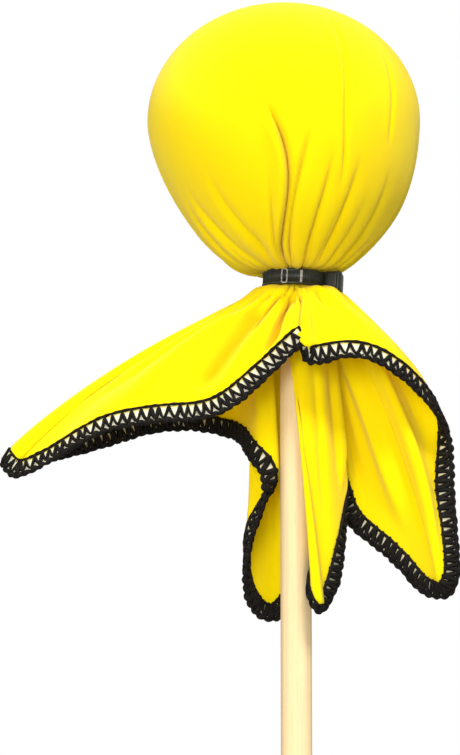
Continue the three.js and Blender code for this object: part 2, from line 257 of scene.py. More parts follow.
def looped_faces(rings, corners):
    """Quads of a tube that closes on itself, with the rings' vertices in order."""
    ring = np.arange(rings)[:, None]
    corner = np.arange(corners)[None, :]
    next_ring = (ring + 1) % rings
    next_corner = (corner + 1) % corners
    a = ring * corners + corner
    b = ring * corners + next_corner
    c = next_ring * corners + next_corner
    d = next_ring * corners + corner
    return np.stack([a, b, c, d], -1).reshape(-1, 4)


def swept_tube(centres, reference, radii, sides):
    """A closed tube: a circle of the given radius carried round a closed line of centres,
    upright to the reference direction of each centre."""
    along = unit(np.roll(centres, -1, 0) - np.roll(centres, 1, 0))
    side = unit(np.cross(along, reference))
    up = np.cross(side, along)
    angle = np.arange(sides) * 2 * math.pi / sides
    circle = np.cos(angle)[None, :, None] * side[:, None] + np.sin(angle)[None, :, None] * up[:, None]
    points = centres[:, None] + circle * np.broadcast_to(radii, len(centres))[:, None, None]
    return points.reshape(-1, 3), looped_faces(len(centres), sides)


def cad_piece(piece, slot, *nodes):
    """Puts a finished piece on the frame: its body, and its CAD nodes, which it hides. slot is not used."""
    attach(piece, "root")
    if nodes:
        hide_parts(*nodes)
    return piece


# ---- Finishes -------------------------------------------------------------------------------


class Signal:
    """A socket of a material whose operators add Math nodes."""

    def __init__(self, finish, socket):
        self.finish = finish
        self.socket = socket

    def maths(self, operation, *values):
        """A Math node of this operation on the values."""
        return self.finish.node("ShaderNodeMath", {"operation": operation}, dict(enumerate(values)))

    def __add__(self, other):
        return self.maths("ADD", self, other)

    def __mul__(self, other):
        return self.maths("MULTIPLY", self, other)

    def sine(self):
        return self.maths("SINE", self)

    def between(self, low, high):
        """0 at low and 1 at high, held at both ends."""
        return self.finish.node("ShaderNodeMapRange", {"clamp": True}, {0: self, 1: low, 2: high})


class Finish:
    """One material, with a single method that makes its nodes."""

    def __init__(self, name, **constants):
        self.material = bpy.data.materials.new(name)
        self.material.use_nodes = True
        self.tree = self.material.node_tree
        self.shader = self.tree.nodes["Principled BSDF"]
        for socket, value in constants.items():
            self.shader.inputs[socket.replace("_", " ")].default_value = value

    def connect(self, value, socket):
        """Links a signal to a socket, or sets the socket to a constant."""
        if isinstance(value, Signal):
            self.tree.links.new(value.socket, socket)
        else:
            socket.default_value = value

    def node(self, kind, settings=None, inputs=None, output=0):
        """Adds a node with its settings and inputs, and gives one of its outputs."""
        made = self.tree.nodes.new(kind)
        for setting, value in (settings or {}).items():
            setattr(made, setting, value)
        for socket, value in (inputs or {}).items():
            self.connect(value, made.inputs[socket])
        return Signal(self, made.outputs[output])

    def place(self):
        """The place on the piece in metres."""
        return self.node("ShaderNodeTexCoord", output="Object")

    def stretched(self, place, scale):
        """A place scaled by its own amount on each axis."""
        return self.node("ShaderNodeMapping", inputs={"Vector": place, "Scale": scale})

    def noise(self, place, scale, detail=3.0, roughness=0.5):
        """Soft noise with so many of its features to a metre."""
        inputs = {"Vector": place, "Scale": scale, "Detail": detail, "Roughness": roughness}
        return self.node("ShaderNodeTexNoise", inputs=inputs)

    def parts(self, vector):
        """The three components of a vector."""
        made = self.tree.nodes.new("ShaderNodeSeparateXYZ")
        self.connect(vector, made.inputs[0])
        return [Signal(self, output) for output in made.outputs]

    def mixed(self, factor, first, second):
        """The first colour at a factor of 0 and the second at 1."""
        made = self.node("ShaderNodeMix", {"data_type": "RGBA"}, {"Factor": factor}, output=2)
        mix = made.socket.node
        self.connect(first, mix.inputs[6])
        self.connect(second, mix.inputs[7])
        return made

    def bump(self, height, distance, strength=1.0):
        """A bent normal from a height, whose full range stands for the distance."""
        inputs = {"Height": height, "Distance": distance, "Strength": strength}
        return self.node("ShaderNodeBump", inputs=inputs)

    def wear(self, **signals):
        """Puts signals on the shader's inputs and gives the finished material."""
        for socket, value in signals.items():
            self.connect(value, self.shader.inputs[socket.replace("_", " ")])
        return self.material


def jersey_finish():
    """Thin yellow stretch jersey: fine knitted ribs, soft tone changes, a painted shade of dark
    orange where the cloth is sunk in a crease or fold, and paler between the hem's stitches."""
    finish = Finish("yellow_jersey", Specular_IOR_Level=0.04, Sheen_Weight=0.17, Sheen_Roughness=0.5)
    cloth = finish.node("ShaderNodeUVMap", {"uv_map": "cut"})
    band = finish.node("ShaderNodeAttribute", {"attribute_name": "hem_band"}, output="Fac")
    sunk = finish.node("ShaderNodeAttribute", {"attribute_name": "sunk"}, output="Fac")
    soft = finish.noise(finish.place(), 38.0, 2.0)
    fibre = finish.noise(finish.stretched(cloth, (1500, 420, 1)), 1.0, 3.0)
    across, along, _ = finish.parts(cloth)
    wales = (across * (2 * math.pi / WALE_PITCH)).sine()
    courses = (along * (2 * math.pi / COURSE_PITCH)).sine()
    plain = finish.mixed(soft.between(0.3, 0.72), (1.0, 0.80, 0.0, 1), (1.0, 0.86, 0.0, 1))
    fuzzy = finish.mixed(fibre.between(0.35, 0.85) * 0.22, plain, (1.0, 0.85, 0.02, 1))
    # Painted shade: dark orange laid on the cloth where it is sunk in a crease or fold.
    fold_shaded = finish.mixed(sunk * 0.8, fuzzy, (0.5, 0.25, 0.0, 1))
    colour = finish.mixed(band * 0.88, fold_shaded, (1.0, 0.97, 0.84, 1))
    height = wales * 0.35 + courses * 0.2 + fibre * 0.6
    material = finish.wear(
        Base_Color=colour,
        Roughness=fibre * 0.15 + 0.78,
        Normal=finish.bump(height, 0.05 * MM, 0.55),
    )
    through = finish.node("ShaderNodeBsdfTranslucent", inputs={"Color": (1.0, 0.82, 0.0, 1)})
    cloth_shader = Signal(finish, finish.shader.outputs[0])
    thin = finish.node("ShaderNodeMixShader", inputs={0: THINNESS, 1: cloth_shader, 2: through})
    finish.connect(thin, finish.tree.nodes["Material Output"].inputs["Surface"])
    return material


def overlock_finish():
    """Woolly black polyester thread: a fine fuzz, brown where its fibres stand up."""
    finish = Finish("black_overlock_thread", Specular_IOR_Level=0.14)
    place = finish.place()
    fibre = finish.noise(finish.stretched(place, (2600, 2600, 2600)), 1.0, 4.0, 0.7)
    clump = finish.noise(place, 420.0, 2.0)
    dark, brown = (0.0035, 0.0028, 0.002, 1), (0.045, 0.036, 0.028, 1)
    colour = finish.mixed(fibre.between(0.45, 0.8) * clump, dark, brown)
    return finish.wear(
        Base_Color=colour,
        Roughness=fibre * 0.2 + 0.7,
        Normal=finish.bump(fibre + clump * 0.8, 0.18 * MM, 0.9),
    )


def tie_finish():
    """Moulded black nylon: a fine grain and a cloudy, uneven shine."""
    finish = Finish("black_nylon", Specular_IOR_Level=0.32)
    place = finish.place()
    grain = finish.noise(place, 2400.0, 3.0)
    cloudy = finish.noise(place, 190.0, 2.0)
    colour = finish.mixed(cloudy.between(0.35, 0.7), (0.010, 0.011, 0.007, 1), (0.022, 0.023, 0.016, 1))
    return finish.wear(
        Base_Color=colour,
        Roughness=cloudy * 0.18 + 0.36,
        Normal=finish.bump(grain, 0.04 * MM, 0.5),
    )


def highlight_nylon_finish():
    """The same nylon on the strap's raised frame and bar, painted pale grey as a highlight, with small
    scratches.
    """
    finish = Finish("nylon_painted_highlight", Specular_IOR_Level=0.5)
    highlight_streaks = finish.noise(finish.stretched(finish.place(), (900, 900, 3200)), 1.0, 3.0)
    # Painted highlight: pale grey streaks on the raised marks.
    colour = finish.mixed(highlight_streaks.between(0.3, 0.6), (0.12, 0.115, 0.095, 1), (0.36, 0.345, 0.30, 1))
    return finish.wear(Base_Color=colour, Roughness=highlight_streaks * 0.3 + 0.3, Normal=finish.bump(highlight_streaks, 0.04 * MM))


def dowel_finish():
    """Planed birch: long grain lines up the dowel, short flecks among them and a few darker
    streaks."""
    finish = Finish("planed_birch", Specular_IOR_Level=0.3)
    place = finish.place()
    streak = finish.noise(finish.stretched(place, (520, 520, 9)), 1.0, 4.0, 0.6)
    pore = finish.noise(finish.stretched(place, (2600, 2600, 60)), 1.0, 3.0, 0.6)
    band = finish.noise(finish.stretched(place, (180, 180, 3)), 1.0, 2.0)
    pale = finish.mixed(band.between(0.35, 0.65), (0.65, 0.48, 0.25, 1), (0.73, 0.57, 0.31, 1))
    grained = finish.mixed(streak.between(0.52, 0.74) * 0.55, pale, (0.58, 0.38, 0.21, 1))
    flecked = finish.mixed(pore.between(0.58, 0.8) * 0.5, grained, (0.45, 0.28, 0.14, 1))
    return finish.wear(
        Base_Color=flecked,
        Roughness=streak * 0.2 + 0.5,
        Normal=finish.bump(pore * 0.7 + streak, 0.08 * MM, 0.5),
    )


def wadding_finish():
    """White polyester wadding: matted fibres over soft lumps."""
    finish = Finish("polyester_wadding", Sheen_Weight=0.3, Specular_IOR_Level=0.2)
    place = finish.place()
    fibre = finish.noise(finish.stretched(place, (900, 900, 500)), 1.0, 5.0, 0.7)
    lump = finish.noise(place, 120.0, 3.0)
    colour = finish.mixed(lump.between(0.3, 0.7), (0.80, 0.79, 0.74, 1), (0.93, 0.92, 0.88, 1))
    return finish.wear(
        Base_Color=colour,
        Roughness=fibre * 0.1 + 0.85,
        Normal=finish.bump(fibre + lump, 0.5 * MM, 0.8),
    )


def foam_finish():
    """Soft cream foam: small open cells, with painted shade darkening their hollow middles."""
    finish = Finish("cream_foam", Specular_IOR_Level=0.2)
    place = finish.place()
    cells = finish.node("ShaderNodeTexVoronoi", inputs={"Vector": place, "Scale": 900.0})
    tone = finish.noise(place, 60.0, 2.0)
    # Painted shade: the cells' hollow middles darker, their walls paler.
    colour = finish.mixed(cells.between(0.1, 0.6), (0.55, 0.50, 0.36, 1), (0.86, 0.82, 0.66, 1))
    return finish.wear(
        Base_Color=colour,
        Roughness=tone * 0.1 + 0.85,
        Normal=finish.bump(cells, 0.4 * MM, 0.8),
    )


def floor_finish():
    """Plain matt grey."""
    finish = Finish("grey_floor", Roughness=0.9, Specular_IOR_Level=0.1)
    return finish.wear(Base_Color=(0.45, 0.45, 0.45, 1))


# ---- The cloth's middle surface -------------------------------------------------------------


def head_profile():
    """Radius and height of the head's outline at each row, from the crown to the tie.

    An ellipse of HEAD_RADIUS by HEAD_CROWN above the widest height. Below it the radius is
    HEAD_RADIUS times the square root of 1 less the drop's share of HEAD_TAPER to the power
    TAPER_POWER, and the outline ends in a short shelf over the tie. The rows are evenly
    spaced along the outline.
    """
    turn = np.linspace(CROWN_START, math.pi / 2, 160)
    crown = np.stack([HEAD_RADIUS * np.sin(turn), HEAD_TAPER + HEAD_CROWN * np.cos(turn)], -1)
    drop = np.sin(np.linspace(0, 1, 240)[1:] * math.pi / 2) * (HEAD_TAPER - SHELF_HEIGHT)
    radius = HEAD_RADIUS * np.sqrt(1 - (drop / HEAD_TAPER) ** TAPER_POWER)
    taper = np.stack([radius, HEAD_TAPER - drop], -1)
    outline = np.concatenate([crown, taper, SHELF_RINGS])
    length = np.concatenate([[0], np.cumsum(np.linalg.norm(np.diff(outline, axis=0), axis=1))])
    rows = np.linspace(0, length[-1], HEAD_ROWS)
    return np.interp(rows, length, outline[:, 0]), np.interp(rows, length, outline[:, 1])


def lean_at(height):
    """How far the head's middle leans to the side at a height above the tie: a part of the
    lean just above the tie and the rest farther up."""
    low = LOW_LEAN_SHARE * smoothstep(*LOW_LEAN_HEIGHTS, height)
    high = (1 - LOW_LEAN_SHARE) * smoothstep(*HIGH_LEAN_HEIGHTS, height)
    return HEAD_LEAN * (low + high)


def crease_depth(bearing, radius, height, crease):
    """How deep one crease presses the cloth in: a valley between two low shoulders, whose
    bearing bends from its low end through its middle to its high end, fading out at both.
    Its left side is steep and its right side is gentle."""
    low_bearing, middle_bearing, high_bearing, low, high, depth, width = crease
    share = np.clip((height / MM - low) / (high - low), 0, 1)
    bend = 4 * share * (1 - share) * (middle_bearing - (low_bearing + high_bearing) / 2)
    centre = np.radians(low_bearing + (high_bearing - low_bearing) * share + bend - 90)
    apart = np.angle(np.exp(1j * (bearing - centre))) * radius / MM
    wide = width * (1 + 0.6 * share) * np.where(apart > 0, CREASE_GENTLE, CREASE_STEEP)
    shoulders = CREASE_SHOULDER * np.exp(-((apart / (4 * width)) ** 2))
    valley = np.exp(-np.abs(apart / wide) ** CREASE_SHARPNESS) - shoulders
    fade = smoothstep(low - 3, low + 3, height / MM) * (1 - smoothstep(high - 18, high, height / MM))
    return depth * MM * valley * fade


def gathered_creases():
    """The many small creases that fan up out of the tie all round the head, and some longer
    ones behind, each with the same values as those of HEAD_CREASES."""
    random = np.random.default_rng(SEED)
    creases = []
    for number in range(NECK_PLEATS):
        bearing = (number + random.uniform(-0.3, 0.3)) * 360 / NECK_PLEATS
        top = random.uniform(13, 30)
        lean, deep, wide = random.uniform((-5, 0.7, 0.8), (5, 1.3, 1.4))
        creases.append((bearing, bearing + lean / 2, bearing + lean, 3, top, deep, wide))
    for bearing in range(80, 290, 21):
        low, middle, high = bearing + random.uniform(-6, 6, 3)
        creases.append((low, middle, high, 4, random.uniform(30, 52), 2.0, 1.4))
    return creases


def rib_places():
    """The place of each column among the ribs, so that the columns are evenly spread along
    the hem, with a share for the way round the tie."""
    ribs = np.array(RIBS, float)
    t = np.arange(len(ribs) * STEPS_PER_RIB) / STEPS_PER_RIB
    hem = round_loop(ribs[:, 2:5], t)
    hem_step = np.linalg.norm(np.roll(hem, -1, 0) - hem, axis=1)
    length = np.concatenate([[0], np.cumsum(hem_step + 0.15 * hem_step.mean())])
    columns = np.arange(CLOTH_COLUMNS) * length[-1] / CLOTH_COLUMNS
    return np.interp(columns, length, np.append(t, len(ribs)))


def neck_angles(t):
    """The ribs' angle in the tie at each place, in radians, over the whole turn."""
    angles = np.array([rib[0] for rib in RIBS], float)
    longer = np.concatenate([angles[-2:] - 360, angles, angles[:3] + 360])
    first = np.floor(t).astype(int)
    return np.radians(catmull_rom(*(longer[first + step] for step in (1, 2, 3, 4)), t - first))


class Skirt:
    """The hanging part of the cloth: its hem, its band and the ribs that carry it. t is the
    place of each column among the ribs."""

    def __init__(self):
        ribs = np.array(RIBS, float)
        self.t = rib_places()
        self.hem = round_loop(ribs[:, 2:5], self.t) * MM
        self.hem[:, 2] += TIE_HEIGHT
        angle = neck_angles(self.t)
        turn = np.arange(CLOTH_COLUMNS) / CLOTH_COLUMNS
        pleat = SKIRT_PLEAT * np.cos(2 * math.pi * NECK_PLEATS * turn)
        radius = round_loop(ribs[:, 1], self.t) * MM + pleat
        self.neck = turned(radius, angle, TIE_HEIGHT + NECK_BOTTOM)
        self.tangent = unit(np.roll(self.hem, -1, 0) - np.roll(self.hem, 1, 0))
        self.shoulder = self.shoulders()
        self.inward = self.inward_directions()
        self.normal = unit(np.cross(self.tangent, self.inward))

    def shoulders(self):
        """The middle point of each rib's curve: level with the tie and well out on a flap,
        close to the dowel on a fold that hangs straight down."""
        span = blurred_round(self.hem, 4.0) - self.neck
        out = np.linalg.norm(span[:, :2], axis=1)
        flap = smoothstep(*SHOULDER_OUT, out)
        right = smoothstep(*SHOULDER_RIGHT, self.hem[:, 0])
        level = 0.5 + flap * (0.06 + 0.16 * right)
        drop = 0.36 - flap * (0.09 - 0.03 * right)
        return self.neck + span * np.stack([level, level, drop], -1)

    def inward_directions(self):
        """The way from the hem into the cloth, square to the hem and smoothed round it."""
        way = unit(self.shoulder - self.hem)
        for _ in range(3):
            way = unit(way - self.tangent * (way * self.tangent).sum(1, keepdims=True))
            way = unit(blurred_round(way, 3.0))
        return unit(way - self.tangent * (way * self.tangent).sum(1, keepdims=True))

    def rows(self):
        """Grid of the skirt from the tie to the hem: cubic curves down to the band's upper
        edge, pushed in and out by the folds, and then the flat band. Also gives how far each
        point is sunk in a fold."""
        edge = self.hem + self.inward * BAND_WIDTH
        first = self.neck + (self.shoulder - self.neck) * NECK_PULL
        last = edge + (self.shoulder - edge) * BAND_PULL + self.inward * BAND_TUCK
        v = np.linspace(0, 1, SKIRT_ROWS + 1)[1:, None, None]
        u = 1 - v
        ribs = u**3 * self.neck + 3 * v * u**2 * first + 3 * v**2 * u * last + v**3 * edge
        push = self.folds(ribs, v[:, :, 0])
        ribs = ribs + grid_normals(ribs) * push[:, :, None]
        inwards = np.linspace(BAND_WIDTH, 0, BAND_ROWS + 1)[1:, None, None]
        band = self.hem + self.inward * inwards
        sunk = np.concatenate([np.clip(-push, 0, None), np.zeros(band.shape[:2])])
        return np.concatenate([ribs, band]), sunk

    def folds(self, ribs, v):
        """How far the folds push the cloth out: each a rounded ridge or valley that follows
        a rib, with small pleats and a puff where the cloth comes out of the tie."""
        step = np.linalg.norm(np.roll(ribs, -1, 1) - np.roll(ribs, 1, 1), axis=2) / 2
        count = len(RIBS)
        push = np.zeros(ribs.shape[:2])
        columns_per_rib = 1 / np.maximum(np.gradient(np.unwrap(self.t, period=count)), 1e-4)
        for place, start, end, depth, width in SKIRT_FOLDS:
            apart = (self.t - place + count / 2) % count - count / 2
            across = apart * columns_per_rib * np.maximum(step, NARROWEST_STEP) / MM
            fade = smoothstep(start, start + 0.12, v) * (1 - smoothstep(end - 0.3, end, v))
            push += depth * MM * np.exp(-((across / width) ** 2)) * fade
        turn = np.arange(CLOTH_COLUMNS) / CLOTH_COLUMNS
        pleats = np.cos(2 * math.pi * NECK_PLEATS * turn)
        pleats += 0.5 * np.cos(2 * math.pi * FINE_PLEATS * turn + 1.0)
        rib_length = np.linalg.norm(self.hem - self.neck, axis=1)
        down = v * rib_length
        out = np.linalg.norm((self.hem - self.neck)[:, :2], axis=1)
        flap = smoothstep(*PUFF_OUT, out)
        push += PLEAT_PUSH * pleats * np.exp(-down / PLEAT_LENGTH) * smoothstep(0, 2 * MM, down)
        push += PUFF_PUSH * flap * np.exp(-(((down - PUFF_DROP) / PUFF_LENGTH) ** 2))
        return push * (1 - smoothstep(FLAT_ABOVE_BAND, 1.0, v))


def cloth_rows(skirt):
    """The cloth's whole middle surface from the crown to the hem, and how far each point is
    sunk in a crease or fold."""
    turn = np.arange(CLOTH_COLUMNS) / CLOTH_COLUMNS
    bearing = 2 * math.pi * turn - math.pi / 2 - FRONT_DETAIL * np.sin(2 * math.pi * turn)
    radius, height = head_profile()
    r, z, b = radius[:, None], height[:, None], bearing[None, :]
    head = turned(r, b, TIE_HEIGHT + z)
    head[..., 0] += lean_at(z)
    depth = sum(crease_depth(b, r, z, crease) for crease in HEAD_CREASES + gathered_creases())
    head = head - grid_normals(head) * depth[:, :, None]
    top_radius = NECK_RADIUS + NECK_PLEAT * np.cos(2 * math.pi * NECK_PLEATS * turn)
    top = np.stack([top_radius, bearing, np.full(CLOTH_COLUMNS, TIE_HEIGHT + NECK_TOP)])
    low_radius = np.linalg.norm(skirt.neck[:, :2], axis=1)
    low = np.stack([low_radius, neck_angles(skirt.t), skirt.neck[:, 2]])
    share = np.linspace(0, 1, NECK_ROWS + 1)[:, None]
    neck = turned(*((1 - share) * top[:, None] + share * low[:, None]))
    hanging, skirt_sunk = skirt.rows()
    sunk = np.concatenate([np.clip(depth, 0, None), np.zeros(neck.shape[:2]), skirt_sunk])
    return np.concatenate([head, neck, hanging]), sunk


def cloth_piece(skirt, finish):
    """The cloth as a thin closed shell, half its thickness on each side of the middle."""
    middle, sunk = cloth_rows(skirt)
    rows, columns = middle.shape[:2]
    normals = grid_normals(middle)
    outer = middle + normals * CLOTH_THICKNESS / 2
    inner = middle - normals * CLOTH_THICKNESS / 2
    crown = middle[0].mean(0) + np.array([0, 0, 0.01 * MM])
    poles = np.array([crown + [0, 0, CLOTH_THICKNESS / 2], crown - [0, 0, CLOTH_THICKNESS / 2]])
    vertices = np.concatenate([outer.reshape(-1, 3), inner.reshape(-1, 3), poles])
    count = rows * columns
    outside = band_faces(rows, columns)
    inside = band_faces(rows, columns, count)[:, ::-1]
    last = (rows - 1) * columns + np.arange(columns)
    after = (rows - 1) * columns + (np.arange(columns) + 1) % columns
    rim = np.stack([last, last + count, after + count, after], -1)
    faces = list(outside) + list(inside) + list(rim)
    faces += list(pole_faces(0, columns, 2 * count, True))
    faces += list(pole_faces(count, columns, 2 * count + 1, False))
    piece = piece_from("jersey_cloth", vertices, faces, finish)
    step = np.linalg.norm(np.diff(middle, axis=0), axis=2)
    distance = np.concatenate([np.zeros((1, columns)), np.cumsum(step, 0)]) + 1 * MM
    bearing = 2 * math.pi * np.arange(columns) / columns
    cut = np.stack([distance * np.cos(bearing), distance * np.sin(bearing)], -1).reshape(-1, 2)
    cut = np.concatenate([cut, cut, np.zeros((2, 2))])
    band = np.zeros((rows, columns))
    inwards = np.linspace(BAND_WIDTH, 0, BAND_ROWS + 1)[1:, None]
    band[-BAND_ROWS:] = 1 - smoothstep(NEEDLE_LINE - 1 * MM, NEEDLE_LINE, inwards)
    band = np.concatenate([band.reshape(-1), band.reshape(-1), np.zeros(2)])
    mesh = piece.data
    corners = np.zeros(len(mesh.loops), int)
    mesh.loops.foreach_get("vertex_index", corners)
    mesh.uv_layers.new(name="cut").data.foreach_set("uv", cut[corners].reshape(-1))
    mesh.attributes.new("hem_band", "FLOAT", "POINT").data.foreach_set("value", band)
    # The sunk attribute carries painted shade into the outer side's creases and folds; the inner side gets
    # none.
    sunk = np.concatenate([sunk.reshape(-1), np.zeros(count + 2)]) / DEEP_FOLD
    mesh.attributes.new("sunk", "FLOAT", "POINT").data.foreach_set("value", np.clip(sunk, 0, 1) ** 2)
    return piece


# ---- Hem threads ----------------------------------------------------------------------------


class Hem:
    """The hem as a closed line that threads are laid along: distance along it, distance
    into the cloth and height over the cloth's outer face become a place."""

    def __init__(self, skirt):
        self.skirt = skirt
        step = np.linalg.norm(np.roll(skirt.hem, -1, 0) - skirt.hem, axis=1)
        self.lengths = np.concatenate([[0], np.cumsum(step)])
        self.length = self.lengths[-1]
        self.stitches = int(round(self.length / STITCH_PITCH))

    def sampled(self, values, along):
        """The hem's values at distances along it, between its own points."""
        looped = np.concatenate([values, values[:1]])
        along = along % self.length
        return np.stack([np.interp(along, self.lengths, looped[:, axis]) for axis in range(3)], -1)

    def place(self, along, inwards, height):
        """The places of a thread, and the cloth's outward direction at each."""
        hem = self.sampled(self.skirt.hem, along)
        inward = unit(self.sampled(self.skirt.inward, along))
        normal = unit(self.sampled(self.skirt.normal, along))
        return hem + inward * inwards[:, None] + normal * height[:, None], normal

    def thread(self, name, finish, steps, inwards, height, radius, shift=None, taut=0):
        """A closed thread, with so many steps to a stitch: inwards, height, radius and shift
        are functions of the phase, which grows by 1 with each stitch. shift moves the thread
        along the hem, and taut is how many steps it cuts corners over."""
        phase = np.arange(self.stitches * steps) / steps
        along = phase / self.stitches * self.length
        if shift is not None:
            along = along + shift(phase)
        centres, normal = self.place(along, inwards(phase), height(phase))
        if taut:
            centres = blurred_round(centres, taut)
        vertices, faces = swept_tube(centres, normal, radius(phase), THREAD_SIDES)
        return piece_from(name, vertices, faces, finish)


def loops(phase, low, high):
    """Loops that hang from sharp points at high and turn round at low, one in each stitch:
    the drop is the sine of half a turn to the power 0.8."""
    return high - (high - low) * np.abs(np.sin(math.pi * phase)) ** 0.8


def bars(phase, low, high):
    """A zigzag with round ends between low and high, once to and fro in each stitch."""
    swing = np.cos(2 * math.pi * phase)
    return (low + high) / 2 + (high - low) / 2 * swing * (1.3 - 0.3 * swing**2)


def uneven(phase):
    """A small variation of the thread's thickness from stitch to stitch."""
    return 1 + 0.14 * np.sin(2.3 * phase) + 0.08 * np.sin(7.1 * phase) + 0.08 * np.sin(0.61 * phase)


def hem_threads(skirt, finish):
    """The five runs of thread of the overlocked hem, each a closed line round the cloth."""
    hem = Hem(skirt)
    over = CLOTH_THICKNESS / 2 + THREAD_LIFT

    def wave(phase, size, start=0.0):
        """A cosine that repeats with each stitch."""
        return size * np.cos(2 * math.pi * (phase + start))

    upper = hem.thread(
        "upper_looper_thread", finish, 12,
        inwards=lambda p: loops(p, 0.6 * MM, NEEDLE_LINE),
        height=lambda p: over + 0.1 * MM - wave(2 * p, 0.1 * MM),
        radius=lambda p: THREAD_RADIUS * 0.94 * uneven(p),
        shift=lambda p: 0.4 * MM * np.sin(1.9 * p) * np.sin(0.37 * p + 1),
    )
    needle = hem.thread(
        "needle_thread", finish, 8,
        inwards=lambda p: NEEDLE_LINE + 0.15 * MM - wave(p, 0.1 * MM),
        height=lambda p: over + wave(p, 0.06 * MM),
        radius=lambda p: THREAD_RADIUS * (0.8 - wave(p, 0.1)) * uneven(p + 3),
        taut=5,
    )
    edge = hem.thread(
        "edge_cord_thread", finish, 8,
        inwards=lambda p: -0.05 * MM + wave(p, 0.2 * MM),
        height=lambda p: wave(p, 0.25 * MM, 0.25),
        radius=lambda p: THREAD_RADIUS * 1.45 * (1 + wave(p, 0.14, 0.25)) * uneven(p + 9),
    )
    lower = hem.thread(
        "lower_looper_thread", finish, 12,
        inwards=lambda p: bars(p, 0.5 * MM, NEEDLE_LINE),
        height=lambda p: -over + wave(2 * p, 0.08 * MM),
        radius=lambda p: THREAD_RADIUS * 1.3 * uneven(p + 5),
        shift=lambda p: wave(p, 0.55 * MM, 0.06) + 0.25 * MM * np.sin(1.7 * p) * np.sin(0.43 * p),
    )
    chain = hem.thread(
        "lower_looper_chain", finish, 8,
        inwards=lambda p: NEEDLE_LINE - 0.1 * MM + wave(p, 0.15 * MM),
        height=lambda p: -over - wave(p, 0.08 * MM),
        radius=lambda p: THREAD_RADIUS * 0.9 * uneven(p + 7),
        taut=3,
    )
    return upper, needle, edge, lower, chain


# ---- Cable tie ------------------------------------------------------------------------------

STRAP_INNER = 8.85 * MM
STRAP_THICKNESS = 1.3 * MM
STRAP_WIDTH = 4.8 * MM
STRAP_TEETH = 70
STEPS_PER_TOOTH = 6
TOOTH_FLOOR, TOOTH_RISE = 0.42 * MM, 0.26 * MM
RAIL_TOP, RAIL_FOOT = 1.62 * MM, 1.5 * MM
STRAP_SOFTNESS = 0.18 * MM
STRAP_TILT = math.radians(3)
LOCK_BEARING = -0.12
LOCK_SIZE = np.array([5.2, 7.4, 5.8]) * MM
LOCK_SINK = 0.35 * MM
LIP_SIZE = (3.4 * MM, 1.2 * MM, 4.6 * MM)
FRONT_LIP_SIZE = (3.4 * MM, 1.0 * MM, 4.6 * MM)
TAIL_SIZE = (1.2 * MM, 4.4 * MM, 4.2 * MM)
MARK_FRAME_SIZE = (1.7 * MM, 4.2 * MM, 0.4 * MM)
MARK_BAR_SIZE = (0.5 * MM, 0.75 * MM, 3.9 * MM)
MARK_FRAME_BEARING = math.radians(-110)
MARK_BAR_BEARING = math.radians(-80.5)


def joined(*shapes):
    """Several closed shapes as one list of vertices and one of faces."""
    vertices, faces, start = [], [], 0
    for points, corners in shapes:
        vertices.append(points)
        faces += [[int(corner) + start for corner in face] for face in corners]
        start += len(points)
    return np.concatenate(vertices), faces


def eased(x, power):
    """x raised to a power that keeps its sign."""
    return np.sign(x) * np.abs(x) ** power


def block_shape(size, centre, power, sides=48, rows=25):
    """A block with rounded edges: a superellipsoid, whose sines and cosines are raised to
    a small power before they are scaled to the block's half sizes."""
    around = np.arange(sides)[None, :] * 2 * math.pi / sides + math.pi / sides
    rise = np.linspace(math.pi / 2, -math.pi / 2, rows + 2)[1:-1, None]
    x = eased(np.cos(rise), power) * eased(np.cos(around), power)
    y = eased(np.cos(rise), power) * eased(np.sin(around), power)
    z = eased(np.sin(rise), power) + 0 * around
    half = np.array(size) / 2
    grid = np.stack([x, y, z], -1) * half
    poles = np.array([[0, 0, half[2]], [0, 0, -half[2]]])
    return np.concatenate([grid.reshape(-1, 3), poles]) + centre, capped_faces(rows, sides)


def strap_shape():
    """The strap's ring: a section with two raised rails and, between them, cross teeth that
    rise slowly and drop sharply, carried round the neck."""
    steps = STRAP_TEETH * STEPS_PER_TOOTH
    tooth = np.arange(steps) % STEPS_PER_TOOTH / STEPS_PER_TOOTH
    outer = STRAP_INNER + STRAP_THICKNESS
    floor = (outer - TOOTH_FLOOR + TOOTH_RISE * tooth)[:, None]
    rail = np.full((steps, 1), outer)
    inner = np.full((steps, 1), STRAP_INNER)
    soft_inner = inner + STRAP_SOFTNESS
    soft_rail = rail - STRAP_SOFTNESS
    section = [soft_inner, inner, inner, soft_inner, soft_rail, rail, rail, floor]
    section += [floor, rail, rail, soft_rail]
    half = STRAP_WIDTH / 2
    soft_half = half - STRAP_SOFTNESS
    upper = np.array([half, soft_half, RAIL_TOP, RAIL_FOOT])
    height = np.concatenate([[-half, -soft_half, soft_half, half], upper, -upper[::-1]])
    angle = (np.arange(steps) * 2 * math.pi / steps)[:, None]
    points = turned(np.concatenate(section, 1), angle, height)
    return points.reshape(-1, 3), looped_faces(steps, len(section))[:, ::-1]


def wrapped(shape, bearing, radius):
    """Bends a shape that was made flat round the strap: its x is out from the strap's face
    and its y runs along it."""
    vertices, faces = shape
    x, y, z = vertices.T
    return turned(radius + x, bearing + y / radius, z), faces


def frame_shape(width, height, thickness):
    """A thin rounded rectangle standing on the strap's face: a small tube round a
    superellipse."""
    turn = np.arange(64) * 2 * math.pi / 64
    across = eased(np.cos(turn), 0.35) * width / 2
    up = eased(np.sin(turn), 0.35) * height / 2
    line = np.stack([0 * turn, across, up], -1)
    return swept_tube(line, np.broadcast_to(np.array([1.0, 0, 0]), line.shape), thickness / 2, 8)


def turned_about_front(vertices, angle):
    """Tilts vertices about the front-to-back axis, right side down for a positive angle."""
    x, y, z = vertices.T
    sine, cosine = math.sin(angle), math.cos(angle)
    return np.stack([x * cosine + z * sine, y, z * cosine - x * sine], -1)


